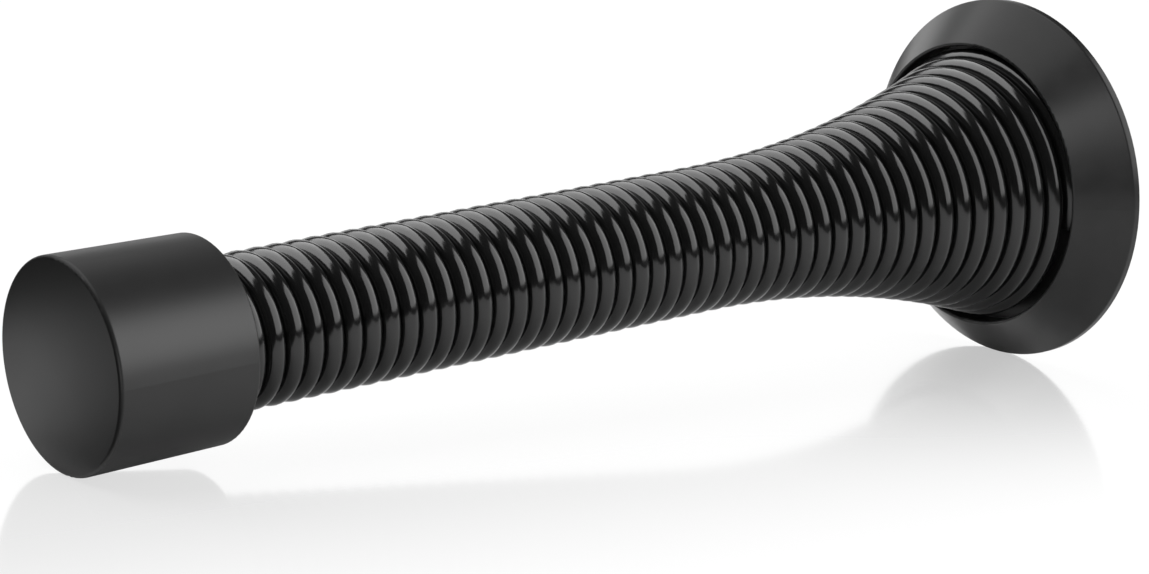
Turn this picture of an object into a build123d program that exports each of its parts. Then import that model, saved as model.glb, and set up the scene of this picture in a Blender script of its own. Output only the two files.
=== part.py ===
"""A spring door stop for a skirting board or wall: cast base, flared spring, rubber tip.

The row stands off the wall along -Y. The wall plane is y = 0, the axis of the spring is the Y axis and +Z is up.
All sizes are in millimetres.
"""
from build123d import *
from math import asin, cos, pi, sin, sqrt
import os

os.makedirs("parts", exist_ok=True)

# Reach of the whole stop from the wall
overall_length = 80.0

# Spring: wire, barrel and trumpet-shaped foot
wire_diameter = 1.42
turn_gap = 0.03
barrel_radius = 4.95
flare_start = 30.0
flare_radius = 76.4
foot_end_turn = 0.278
points_per_turn = 12

# Rubber tip
tip_length = 10.0
tip_front_radius = 6.77
tip_back_radius = 6.62
nose_thickness = 3.6
tip_edge = 0.25
tip_mouth_edge = 0.2
socket_clearance = 0.05
spring_end_clearance = 0.05

# Base: rim, coned face and the well that swallows the spring's last turn
rim_radius = 13.0
rim_land = 0.5
rim_edge = 0.25
mouth_height = 4.0
mouth_edge = 0.15
well_floor = 2.0
well_clearance = 0.15

# Base: hub inside the spring's foot, fixing hole and cored back
hub_height = 7.5
hub_clearance = 0.1
hub_edge = 0.4
screw_hole_radius = 2.3
screw_head_radius = 4.3
countersink_angle = 82.0
core_depth = 5.4
core_inner_radius = 3.8
core_wall = 1.4
relief_depth = 0.4
relief_rim = 1.6
core_edge = 0.3

wire_radius = wire_diameter / 2
turn_pitch = wire_diameter + turn_gap
flare_centre = barrel_radius + flare_radius


def flare_profile(inset, height):
    """Radius at this height off the wall of a surface that lies inset inside the spring's outer surface."""
    rise = max(flare_start - height, 0.0)
    return flare_centre - sqrt((flare_radius + inset) ** 2 - rise ** 2)


# Meridian of the wire's centre line, measured from its end in the well of the base
centre_flare_radius = flare_radius + wire_radius
foot_end_height = well_floor + spring_end_clearance + wire_radius
front_end_height = overall_length - nose_thickness - spring_end_clearance - wire_radius
flare_angle = asin((flare_start - foot_end_height) / centre_flare_radius)
flare_run = centre_flare_radius * flare_angle
coil_run = flare_run + front_end_height - flare_start


def wire_centre(run):
    """Point on the wire's centre line after this much of the meridian, counted from the foot's end."""
    if run < flare_run:
        lean = flare_angle - run / centre_flare_radius
        radius = flare_centre - centre_flare_radius * cos(lean)
        height = flare_start - centre_flare_radius * sin(lean)
    else:
        radius = barrel_radius - wire_radius
        height = flare_start + run - flare_run
    turn = 2 * pi * (foot_end_turn - run / turn_pitch)
    return (radius * sin(turn), -height, radius * cos(turn))


# Spring: one wire wound close, right-handed
path_steps = round(coil_run / turn_pitch * points_per_turn)
with BuildPart() as spring:
    with BuildLine() as wire_path:
        Spline(*[wire_centre(coil_run * step / path_steps) for step in range(path_steps + 1)])
    with BuildSketch(Plane(origin=wire_path.line @ 0, z_dir=wire_path.line % 0)):
        Circle(wire_radius)
    sweep(is_frenet=True)
spring.part.label = "spring"

# Rubber tip: closed nose, light draft, blind socket for the front of the spring
socket_radius = barrel_radius + socket_clearance
with BuildPart() as rubber_tip:
    with BuildSketch() as tip_section:
        with BuildLine():
            Polyline(
                (0, -overall_length),
                (tip_front_radius, -overall_length),
                (tip_back_radius, tip_length - overall_length),
                (socket_radius, tip_length - overall_length),
                (socket_radius, nose_thickness - overall_length),
                (0, nose_thickness - overall_length),
                close=True,
            )
        make_face()
        front_corner = tip_section.vertices().group_by(Axis.Y)[0].sort_by(Axis.X)[-1]
        fillet(front_corner, tip_edge)
        mouth_corners = tip_section.vertices().group_by(Axis.Y)[-1]
        fillet(mouth_corners, tip_mouth_edge)
    revolve(axis=Axis.Y)
rubber_tip.part.label = "rubber_tip"

# Base: one casting, turned profile with the well and the hub
last_turn_radius = flare_profile(0, flare_start - flare_radius * sin(flare_angle))
well_radius = last_turn_radius + well_clearance
hub_inset = wire_diameter + hub_clearance
hub_heights = (well_floor, (well_floor + hub_height) / 2, hub_height)
hub_side = [(flare_profile(hub_inset, height), -height) for height in hub_heights]
core_top_radius = flare_profile(hub_inset, core_depth) - core_wall
core_foot_radius = flare_profile(hub_inset, well_floor) - core_wall
relief_radius = rim_radius - relief_rim

with BuildPart() as base_flange:
    with BuildSketch() as base_section:
        with BuildLine():
            Polyline(
                hub_side[0],
                (well_radius, -well_floor),
                (well_radius, -mouth_height),
                (rim_radius, -rim_land),
                (rim_radius, 0),
                (0, 0),
                (0, -hub_height),
                hub_side[2],
            )
            ThreePointArc(*hub_side)
        make_face()
        front = base_section.vertices().group_by(Axis.Y)
        fillet(front[0].sort_by(Axis.X)[-1], hub_edge)
        fillet(base_section.vertices().sort_by_distance((well_radius, -mouth_height))[0], mouth_edge)
        fillet(base_section.vertices().sort_by_distance((rim_radius, -rim_land))[0], rim_edge)
    revolve(axis=Axis.Y)
    with BuildSketch() as back_section:
        with BuildLine():
            Polyline(
                (core_inner_radius, 0),
                (core_inner_radius, -core_depth),
                (core_top_radius, -core_depth),
                (core_foot_radius, -relief_depth),
                (relief_radius, -relief_depth),
                (relief_radius, 0),
                close=True,
            )
        make_face()
        fillet(back_section.vertices().group_by(Axis.Y)[0], core_edge)
    revolve(axis=Axis.Y, mode=Mode.SUBTRACT)
    with Locations(Plane(origin=(0, -hub_height, 0), z_dir=(0, -1, 0))):
        CounterSinkHole(screw_hole_radius, screw_head_radius, counter_sink_angle=countersink_angle)
base_flange.part.label = "base_flange"

for piece in (rubber_tip, spring, base_flange):
    export_step(piece.part, "parts/" + piece.part.label + ".step")
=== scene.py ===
"""Looks of the spring door stop: black enamelled spring and base, black rubber tip, on a white studio ground.

Metres, in the frame of the CAD model: the wall plane is y = 0, the stop stands off it along -Y and +Z is up.
"""
import math

import bmesh
import bpy
from mathutils import Euler, Matrix, Vector


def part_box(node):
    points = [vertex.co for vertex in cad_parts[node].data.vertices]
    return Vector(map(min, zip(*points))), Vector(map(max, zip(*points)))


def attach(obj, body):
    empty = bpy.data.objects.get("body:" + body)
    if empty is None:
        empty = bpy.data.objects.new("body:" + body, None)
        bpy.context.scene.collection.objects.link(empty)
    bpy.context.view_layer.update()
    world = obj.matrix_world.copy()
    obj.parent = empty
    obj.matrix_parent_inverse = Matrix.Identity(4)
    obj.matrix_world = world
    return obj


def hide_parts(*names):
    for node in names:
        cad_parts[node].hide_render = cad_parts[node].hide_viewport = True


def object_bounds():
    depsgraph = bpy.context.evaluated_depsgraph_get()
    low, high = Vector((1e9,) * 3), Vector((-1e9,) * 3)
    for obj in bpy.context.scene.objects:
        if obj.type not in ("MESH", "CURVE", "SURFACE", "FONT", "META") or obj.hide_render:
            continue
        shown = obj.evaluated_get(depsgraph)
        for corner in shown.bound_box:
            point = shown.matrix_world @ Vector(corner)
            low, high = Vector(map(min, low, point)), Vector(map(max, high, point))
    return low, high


MM = 0.001

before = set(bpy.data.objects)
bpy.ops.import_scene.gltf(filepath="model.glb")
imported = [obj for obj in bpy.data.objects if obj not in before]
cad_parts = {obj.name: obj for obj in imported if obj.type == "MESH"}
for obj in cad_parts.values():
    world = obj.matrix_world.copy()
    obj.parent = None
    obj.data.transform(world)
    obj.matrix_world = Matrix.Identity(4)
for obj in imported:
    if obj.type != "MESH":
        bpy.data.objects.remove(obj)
cad_low, cad_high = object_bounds()

# Camera, fitted to the photograph: image right is along the floor, image up is nearly the model's +Z
camera_azimuth = math.radians(50.79)
camera_elevation = math.radians(14.63)
camera_lens = 116.15
sensor_width = 36.0
tip_right = -30.63 * MM
tip_down = 4.78 * MM
tip_forward = 220.49 * MM

# Spring, from the same driving sizes as the solid
wire_diameter = 1.42 * MM
turn_gap = 0.03 * MM
barrel_radius = 4.95 * MM
flare_start = 30.0 * MM
flare_radius = 76.4 * MM
foot_end_height = 2.76 * MM
foot_end_turn = 0.278
steps_per_turn = 60
wire_sides = 20

# Ground
rim_radius = cad_high.z
tip_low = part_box("rubber_tip")[0]
floor_reach = 3.0
card_reach = 160.0 * MM
card_front = 2.0 * MM
card_right = 100.0 * MM
floor_drop = 0.02 * MM
card_drop = 0.1 * MM
mirror_strength = 0.42
mirror_reach = 40.0 * MM
mirror_rise_start = -40.0 * MM
mirror_rise_end = -5.0 * MM
mirror_share_at_tip = 0.55
shadow_strength = 0.1

# Light around the stop
lamp_distance = 1.5
dark_side = 0.05


class Value:
    """A node socket on which Python's operators add Math nodes."""

    def __init__(self, tree, socket):
        self.tree = tree
        self.socket = socket

    def math(self, operation, *others):
        sockets = {0: self, **dict(enumerate(others, 1))}
        return self.tree.add("ShaderNodeMath", {"operation": operation}, sockets)

    def __add__(self, other):
        return self.math("ADD", other)

    def __sub__(self, other):
        return self.math("SUBTRACT", other)

    def __mul__(self, other):
        return self.math("MULTIPLY", other)

    def __truediv__(self, other):
        return self.math("DIVIDE", other)

    def __rsub__(self, other):
        return self.tree.add("ShaderNodeMath", {"operation": "SUBTRACT"}, {0: other, 1: self})

    __radd__ = __add__
    __rmul__ = __mul__


class Tree:
    """A material's or the world's nodes, with one method that adds any node."""

    def __init__(self, owner):
        owner.use_nodes = True
        self.nodes = owner.node_tree.nodes
        self.links = owner.node_tree.links
        self.nodes.clear()

    def add(self, kind, settings=None, sockets=None, output=0):
        """Adds a node, sets its settings and then its sockets, and returns one of its outputs as a Value."""
        node = self.nodes.new(kind)
        for name, setting in (settings or {}).items():
            if name == "stops":
                self.set_stops(node.color_ramp, setting)
            else:
                setattr(node, name, setting)
        for name, given in (sockets or {}).items():
            if isinstance(given, Value):
                self.links.new(given.socket, node.inputs[name])
            else:
                node.inputs[name].default_value = given
        return Value(self, node.outputs[output]) if node.outputs else node

    @staticmethod
    def set_stops(ramp, stops):
        while len(ramp.elements) < len(stops):
            ramp.elements.new(1.0)
        for element, (position, grey) in zip(ramp.elements, stops):
            element.position = position
            element.color = (grey, grey, grey, 1.0)

    def noise(self, scale, detail, roughness=0.5):
        place = self.add("ShaderNodeTexCoord", output="Object")
        return self.add("ShaderNodeTexNoise", None,
                        {"Vector": place, "Scale": scale, "Detail": detail, "Roughness": roughness})

    def blend(self, value, start, end, first, last):
        """Goes smoothly from the first level to the last as the value goes from start to end."""
        return self.add("ShaderNodeMapRange", {"interpolation_type": "SMOOTHSTEP"},
                        {"Value": value, "From Min": start, "From Max": end, "To Min": first, "To Max": last})

    def mix_shaders(self, mask, first, second):
        return self.add("ShaderNodeMixShader", None, {0: mask, 1: first, 2: second})

    def bump(self, height, strength, distance):
        return self.add("ShaderNodeBump", None, {"Height": height, "Strength": strength, "Distance": distance})

    def surface(self, **sockets):
        """A Principled surface on the material's output. An underscore in a name stands for a space."""
        named = {name.replace("_", " "): given for name, given in sockets.items()}
        shader = self.add("ShaderNodeBsdfPrincipled", None, named)
        self.add("ShaderNodeOutputMaterial", None, {"Surface": shader})
        return shader


def grey(level):
    return (level, level, level, 1.0)


def tint(tree, mask, dark, light):
    """A grey between two levels, picked by a mask from 0 to 1."""
    sockets = {"Factor": mask, 6: grey(dark), 7: grey(light)}
    return tree.add("ShaderNodeMix", {"data_type": "RGBA"}, sockets, output=2)


def gloss_enamel():
    """Baked gloss black on the wire: deep colour, clear reflections, a faint waviness of the film."""
    material = bpy.data.materials.new("gloss_enamel")
    tree = Tree(material)
    film = tree.noise(900.0, 2.0)
    speck = tree.noise(5200.0, 3.0)
    tree.surface(
        Base_Color=tint(tree, film, 0.004, 0.008),
        Roughness=0.11 + 0.08 * film,
        Normal=tree.bump(0.8 * film + 0.2 * speck, 0.25, 0.02 * MM),
    )
    return material


def satin_enamel():
    """Satin black on the cast base: softer reflections, a fine orange-peel texture."""
    material = bpy.data.materials.new("satin_enamel")
    tree = Tree(material)
    film = tree.noise(700.0, 3.0)
    peel = tree.noise(3600.0, 2.0)
    tree.surface(
        Base_Color=tint(tree, film, 0.008, 0.014),
        Roughness=0.28 + 0.06 * film,
        Normal=tree.bump(0.2 * film + 0.8 * peel, 0.15, 0.01 * MM),
        Specular_IOR_Level=0.3,
    )
    return material


def moulded_rubber():
    """Matt black rubber: broad soft sheen, fine grain from the mould."""
    material = bpy.data.materials.new("moulded_rubber")
    tree = Tree(material)
    cloud = tree.noise(260.0, 3.0)
    grain = tree.noise(9000.0, 3.0)
    tree.surface(
        Base_Color=tint(tree, cloud, 0.012, 0.016),
        Roughness=0.38 + 0.06 * cloud,
        Normal=tree.bump(grain, 0.25, 0.01 * MM),
        Specular_IOR_Level=0.32,
    )
    return material


def wound_wire():
    """The spring's wire as one smooth mesh.

    A length of one turn is spun from a circle, repeated along the coil, and then bent out into the foot.
    """
    wire_radius = wire_diameter / 2
    pitch = wire_diameter + turn_gap
    flare_centre = barrel_radius + flare_radius
    centre_flare_radius = flare_radius + wire_radius
    flare_angle = math.asin((flare_start - foot_end_height) / centre_flare_radius)
    flare_run = centre_flare_radius * flare_angle
    front_end = -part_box("spring")[0].y - wire_radius
    coil_run = flare_run + front_end - flare_start
    lengths = round(coil_run / pitch)
    length_rise = coil_run / lengths
    length_turn = -2 * math.pi * length_rise / pitch

    mesh = bmesh.new()
    bmesh.ops.create_circle(mesh, segments=wire_sides, radius=wire_radius)
    bmesh.ops.rotate(mesh, verts=mesh.verts, matrix=Matrix.Rotation(math.pi / 2, 3, "Y"))
    bmesh.ops.translate(mesh, verts=mesh.verts, vec=(0, 0, barrel_radius - wire_radius))
    bmesh.ops.rotate(mesh, verts=mesh.verts, matrix=Matrix.Rotation(2 * math.pi * foot_end_turn, 3, "Y"))
    bmesh.ops.spin(
        mesh, geom=mesh.verts[:] + mesh.edges[:], cent=(0, 0, 0), axis=(0, 1, 0),
        dvec=(0, -length_rise / steps_per_turn, 0), angle=length_turn, steps=steps_per_turn,
    )
    bmesh.ops.spin(
        mesh, geom=mesh.verts[:] + mesh.edges[:] + mesh.faces[:], cent=(0, 0, 0), axis=(0, 1, 0),
        dvec=(0, -length_rise, 0), angle=length_turn * (lengths - 1), steps=lengths - 1, use_duplicate=True,
    )
    bmesh.ops.remove_doubles(mesh, verts=mesh.verts, dist=0.01 * wire_radius)
    bmesh.ops.holes_fill(mesh, edges=[edge for edge in mesh.edges if edge.is_boundary], sides=wire_sides)
    for vert in mesh.verts:
        run = -vert.co.y
        across = math.hypot(vert.co.x, vert.co.z)
        if run < flare_run:
            lean = flare_angle - run / centre_flare_radius
            reach = flare_centre - across
            radius = flare_centre - reach * math.cos(lean)
            height = flare_start - reach * math.sin(lean)
        else:
            radius = across
            height = flare_start + run - flare_run
        vert.co = Vector((vert.co.x * radius / across, -height, vert.co.z * radius / across))
    bmesh.ops.recalc_face_normals(mesh, faces=mesh.faces)
    return finished(mesh, "spring_wire")


def finished(mesh, name):
    """Turns the edit mesh into an object at the origin, shaded smooth."""
    data = bpy.data.meshes.new(name)
    mesh.to_mesh(data)
    mesh.free()
    data.shade_smooth()
    piece = bpy.data.objects.new(name, data)
    bpy.context.scene.collection.objects.link(piece)
    return piece


def dress(piece, material):
    piece.data.materials.clear()
    piece.data.materials.append(material)


def add_camera():
    """The camera looks along its own direction, level, with the tip's face where the photograph has it."""
    turn = Euler((math.pi / 2 - camera_elevation, 0, camera_azimuth)).to_matrix()
    tip_face = Vector((0, cad_low.y, 0))
    place = tip_face - turn @ Vector((tip_right, -tip_down, -tip_forward))
    data = bpy.data.cameras.new("camera")
    data.lens = camera_lens
    data.sensor_width = sensor_width
    data.clip_start = 0.01
    eye = bpy.data.objects.new("camera", data)
    eye.matrix_world = Matrix.LocRotScale(place, turn.to_quaternion(), None)
    bpy.context.scene.collection.objects.link(eye)
    bpy.context.scene.camera = eye


def ground_plane(name, low, high, drop):
    """A flat sheet that touches the base's rim and the tip's lower edge, as the stop lies in the photograph."""
    slope = math.atan2(tip_low.z + rim_radius, -tip_low.y)
    mesh = bmesh.new()
    bmesh.ops.create_grid(mesh, x_segments=1, y_segments=1, size=1.0)
    bmesh.ops.scale(mesh, verts=mesh.verts, vec=((high.x - low.x) / 2, (high.y - low.y) / 2, 1))
    bmesh.ops.translate(mesh, verts=mesh.verts, vec=((high.x + low.x) / 2, (high.y + low.y) / 2, 0))
    bmesh.ops.rotate(mesh, verts=mesh.verts, matrix=Matrix.Rotation(-slope, 3, "X"))
    bmesh.ops.translate(mesh, verts=mesh.verts, vec=(0, 0, -rim_radius - drop))
    return finished(mesh, name)


def add_floor():
    """The white floor that the camera sees, with a mirrored image of the stop that fades out to both sides."""
    reach = Vector((floor_reach, floor_reach))
    floor = ground_plane("floor", -reach, reach, floor_drop)
    floor.visible_diffuse = floor.visible_glossy = floor.visible_shadow = False
    material = bpy.data.materials.new("white_floor")
    tree = Tree(material)
    matt = tree.add("ShaderNodeBsdfDiffuse", None, {"Color": grey(0.8)})
    glow = tree.add("ShaderNodeEmission", None, {"Color": grey(1.0), "Strength": 1.0})
    mirror = tree.add("ShaderNodeBsdfGlossy", None, {"Color": grey(1.0), "Roughness": 0.1})
    place = tree.add("ShaderNodeTexCoord", output="Object")
    side = tree.add("ShaderNodeSeparateXYZ", None, {"Vector": place}, output="X")
    along = tree.add("ShaderNodeSeparateXYZ", None, {"Vector": place}, output="Y")
    polish = tree.blend(side.math("ABSOLUTE"), 0.0, mirror_reach, mirror_strength, 0.0)
    polish = polish * tree.blend(along, mirror_rise_start, mirror_rise_end, mirror_share_at_tip, 1.0)
    white = tree.mix_shaders(shadow_strength, glow, matt)
    tree.add("ShaderNodeOutputMaterial", None, {"Surface": tree.mix_shaders(polish, white, mirror)})
    dress(floor, material)
    return floor


def add_card():
    """A white card under the stop that throws light up on to it. The camera doesn't see it."""
    low = Vector((-card_reach, cad_low.y - card_front))
    card = ground_plane("card", low, Vector((card_right, card_reach)), card_drop)
    card.visible_camera = False
    material = bpy.data.materials.new("white_card")
    tree = Tree(material)
    tree.surface(Base_Color=grey(0.75), Roughness=0.9, Specular_IOR_Level=0.0)
    dress(card, material)
    return card


def add_softbox(name, centre, facing, along, width, height, radiance, lit=(), shaded_by=()):
    """A rectangular lamp whose back faces one direction and whose width runs along another.

    Pieces given in lit are the only ones that it lights, and those in shaded_by the only ones that shade it.
    """
    facing = Vector(facing).normalized()
    side = (Vector(along) - facing * facing.dot(Vector(along))).normalized()
    data = bpy.data.lights.new(name, "AREA")
    data.shape = "RECTANGLE"
    data.size = width
    data.size_y = height
    data.energy = math.pi * width * height * radiance
    lamp = bpy.data.objects.new(name, data)
    turn = Matrix((side, facing.cross(side), facing)).transposed()
    lamp.matrix_world = Matrix.LocRotScale(Vector(centre), turn.to_quaternion(), None)
    bpy.context.scene.collection.objects.link(lamp)
    if lit:
        lamp.light_linking.receiver_collection = grouped(name + "_lit", lit)
    if shaded_by:
        lamp.light_linking.blocker_collection = grouped(name + "_shade", shaded_by)


def grouped(name, pieces):
    collection = bpy.data.collections.new(name)
    for piece in pieces:
        collection.objects.link(piece)
    return collection


def far(direction):
    """A lamp's place in the studio in this direction from the middle of the stop."""
    return Vector((0, cad_low.y / 2, 0)) + Vector(direction).normalized() * lamp_distance


def compass(azimuth, elevation):
    """Direction from the stop: azimuth 0 is behind the wall plane (+Y), positive toward +X."""
    azimuth, elevation = math.radians(azimuth), math.radians(elevation)
    return Vector((math.sin(azimuth) * math.cos(elevation), math.cos(azimuth) * math.cos(elevation),
                   math.sin(elevation)))


def add_world():
    """The studio around the stop: white to the camera, dark to everything that the lamps light."""
    world = bpy.data.worlds.new("studio")
    bpy.context.scene.world = world
    tree = Tree(world)
    surround = tree.add("ShaderNodeBackground", None, {"Color": grey(1.0), "Strength": dark_side})
    backdrop = tree.add("ShaderNodeBackground", None, {"Color": grey(1.0), "Strength": 1.0})
    seen = tree.add("ShaderNodeLightPath", output="Is Camera Ray")
    tree.add("ShaderNodeOutputWorld", None, {"Surface": tree.mix_shaders(seen, surround, backdrop)})


wire = wound_wire()
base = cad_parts["base_flange"]
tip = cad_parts["rubber_tip"]
dress(wire, gloss_enamel())
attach(wire, "root")
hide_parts("spring")
dress(base, satin_enamel())
dress(tip, moulded_rubber())

floor = add_floor()
card = add_card()
add_camera()
add_world()

# Two large boxes, each given by its direction, the way that its back faces and the way that its width runs.
# A dark gap between them runs askew over the spring's upper side.
overhead_place, *overhead_turn = (-0.355, -0.014, 0.935), (-0.635, -0.360, 0.683), (0.099, -0.915, -0.390)
side_place, *side_turn = (0.378, 0.673, 0.636), (0.794, 0.561, -0.233), (-0.585, 0.810, -0.044)
add_softbox("overhead_softbox", far(overhead_place), *overhead_turn, 2.02, 1.96, 3.6, (wire, card, floor))
add_softbox("side_softbox", far(side_place), *side_turn, 1.99, 1.94, 2.4, (wire, base, card, floor))
# The base and the tip have a dimmer light from above
add_softbox("top_light", far(overhead_place), *overhead_turn, 2.02, 1.96, 1.6, (base, tip))

# Level boxes round the stop: azimuth, elevation, width, height, radiance and the pieces that each one lights
level_boxes = {
    "backdrop": (-60, 10, 1.5, 0.51, 1.0, ()),
    "base_front": (150, 26, 1.0, 1.1, 4.4, (base,)),
    "base_left": (-92, 20, 1.5, 1.2, 0.5, (base,)),
    "tip_light": (50, 22, 1.6, 1.2, 5.0, (tip,)),
    "tip_front": (138, -2, 0.8, 0.8, 2.5, (tip,)),
}
for name, (azimuth, elevation, width, height, radiance, lit) in level_boxes.items():
    towards = compass(azimuth, elevation)
    add_softbox(name, far(towards), towards, compass(azimuth + 90, 0), width, height, radiance, lit)

# Two small lamps close by: a bright spot low on the base's face, and the light left edge of the tip's face
spot_place = Vector((7.6, -0.8, -10.5)) * MM
spot_side = Vector((-0.37, -0.27, -0.89))
spot_size = 14.0 * MM
spot_distance = 60.0 * MM
spot_centre = spot_place + spot_distance * spot_side
add_softbox("base_below", spot_centre, spot_side, (0, 1, 0), spot_size, spot_size, 25.0, (base,), (wire, base, tip))
tip_lamp = Vector((-15.5, -7.3, -5.5)) * MM
tip_face = Vector((0, cad_low.y, 0))
add_softbox("tip_lamp", tip_face + tip_lamp, tip_lamp, (0, 0, 1), 8.0 * MM, 6.0 * MM, 2.0, (tip,))
bpy.context.scene.view_settings.view_transform = "Standard"
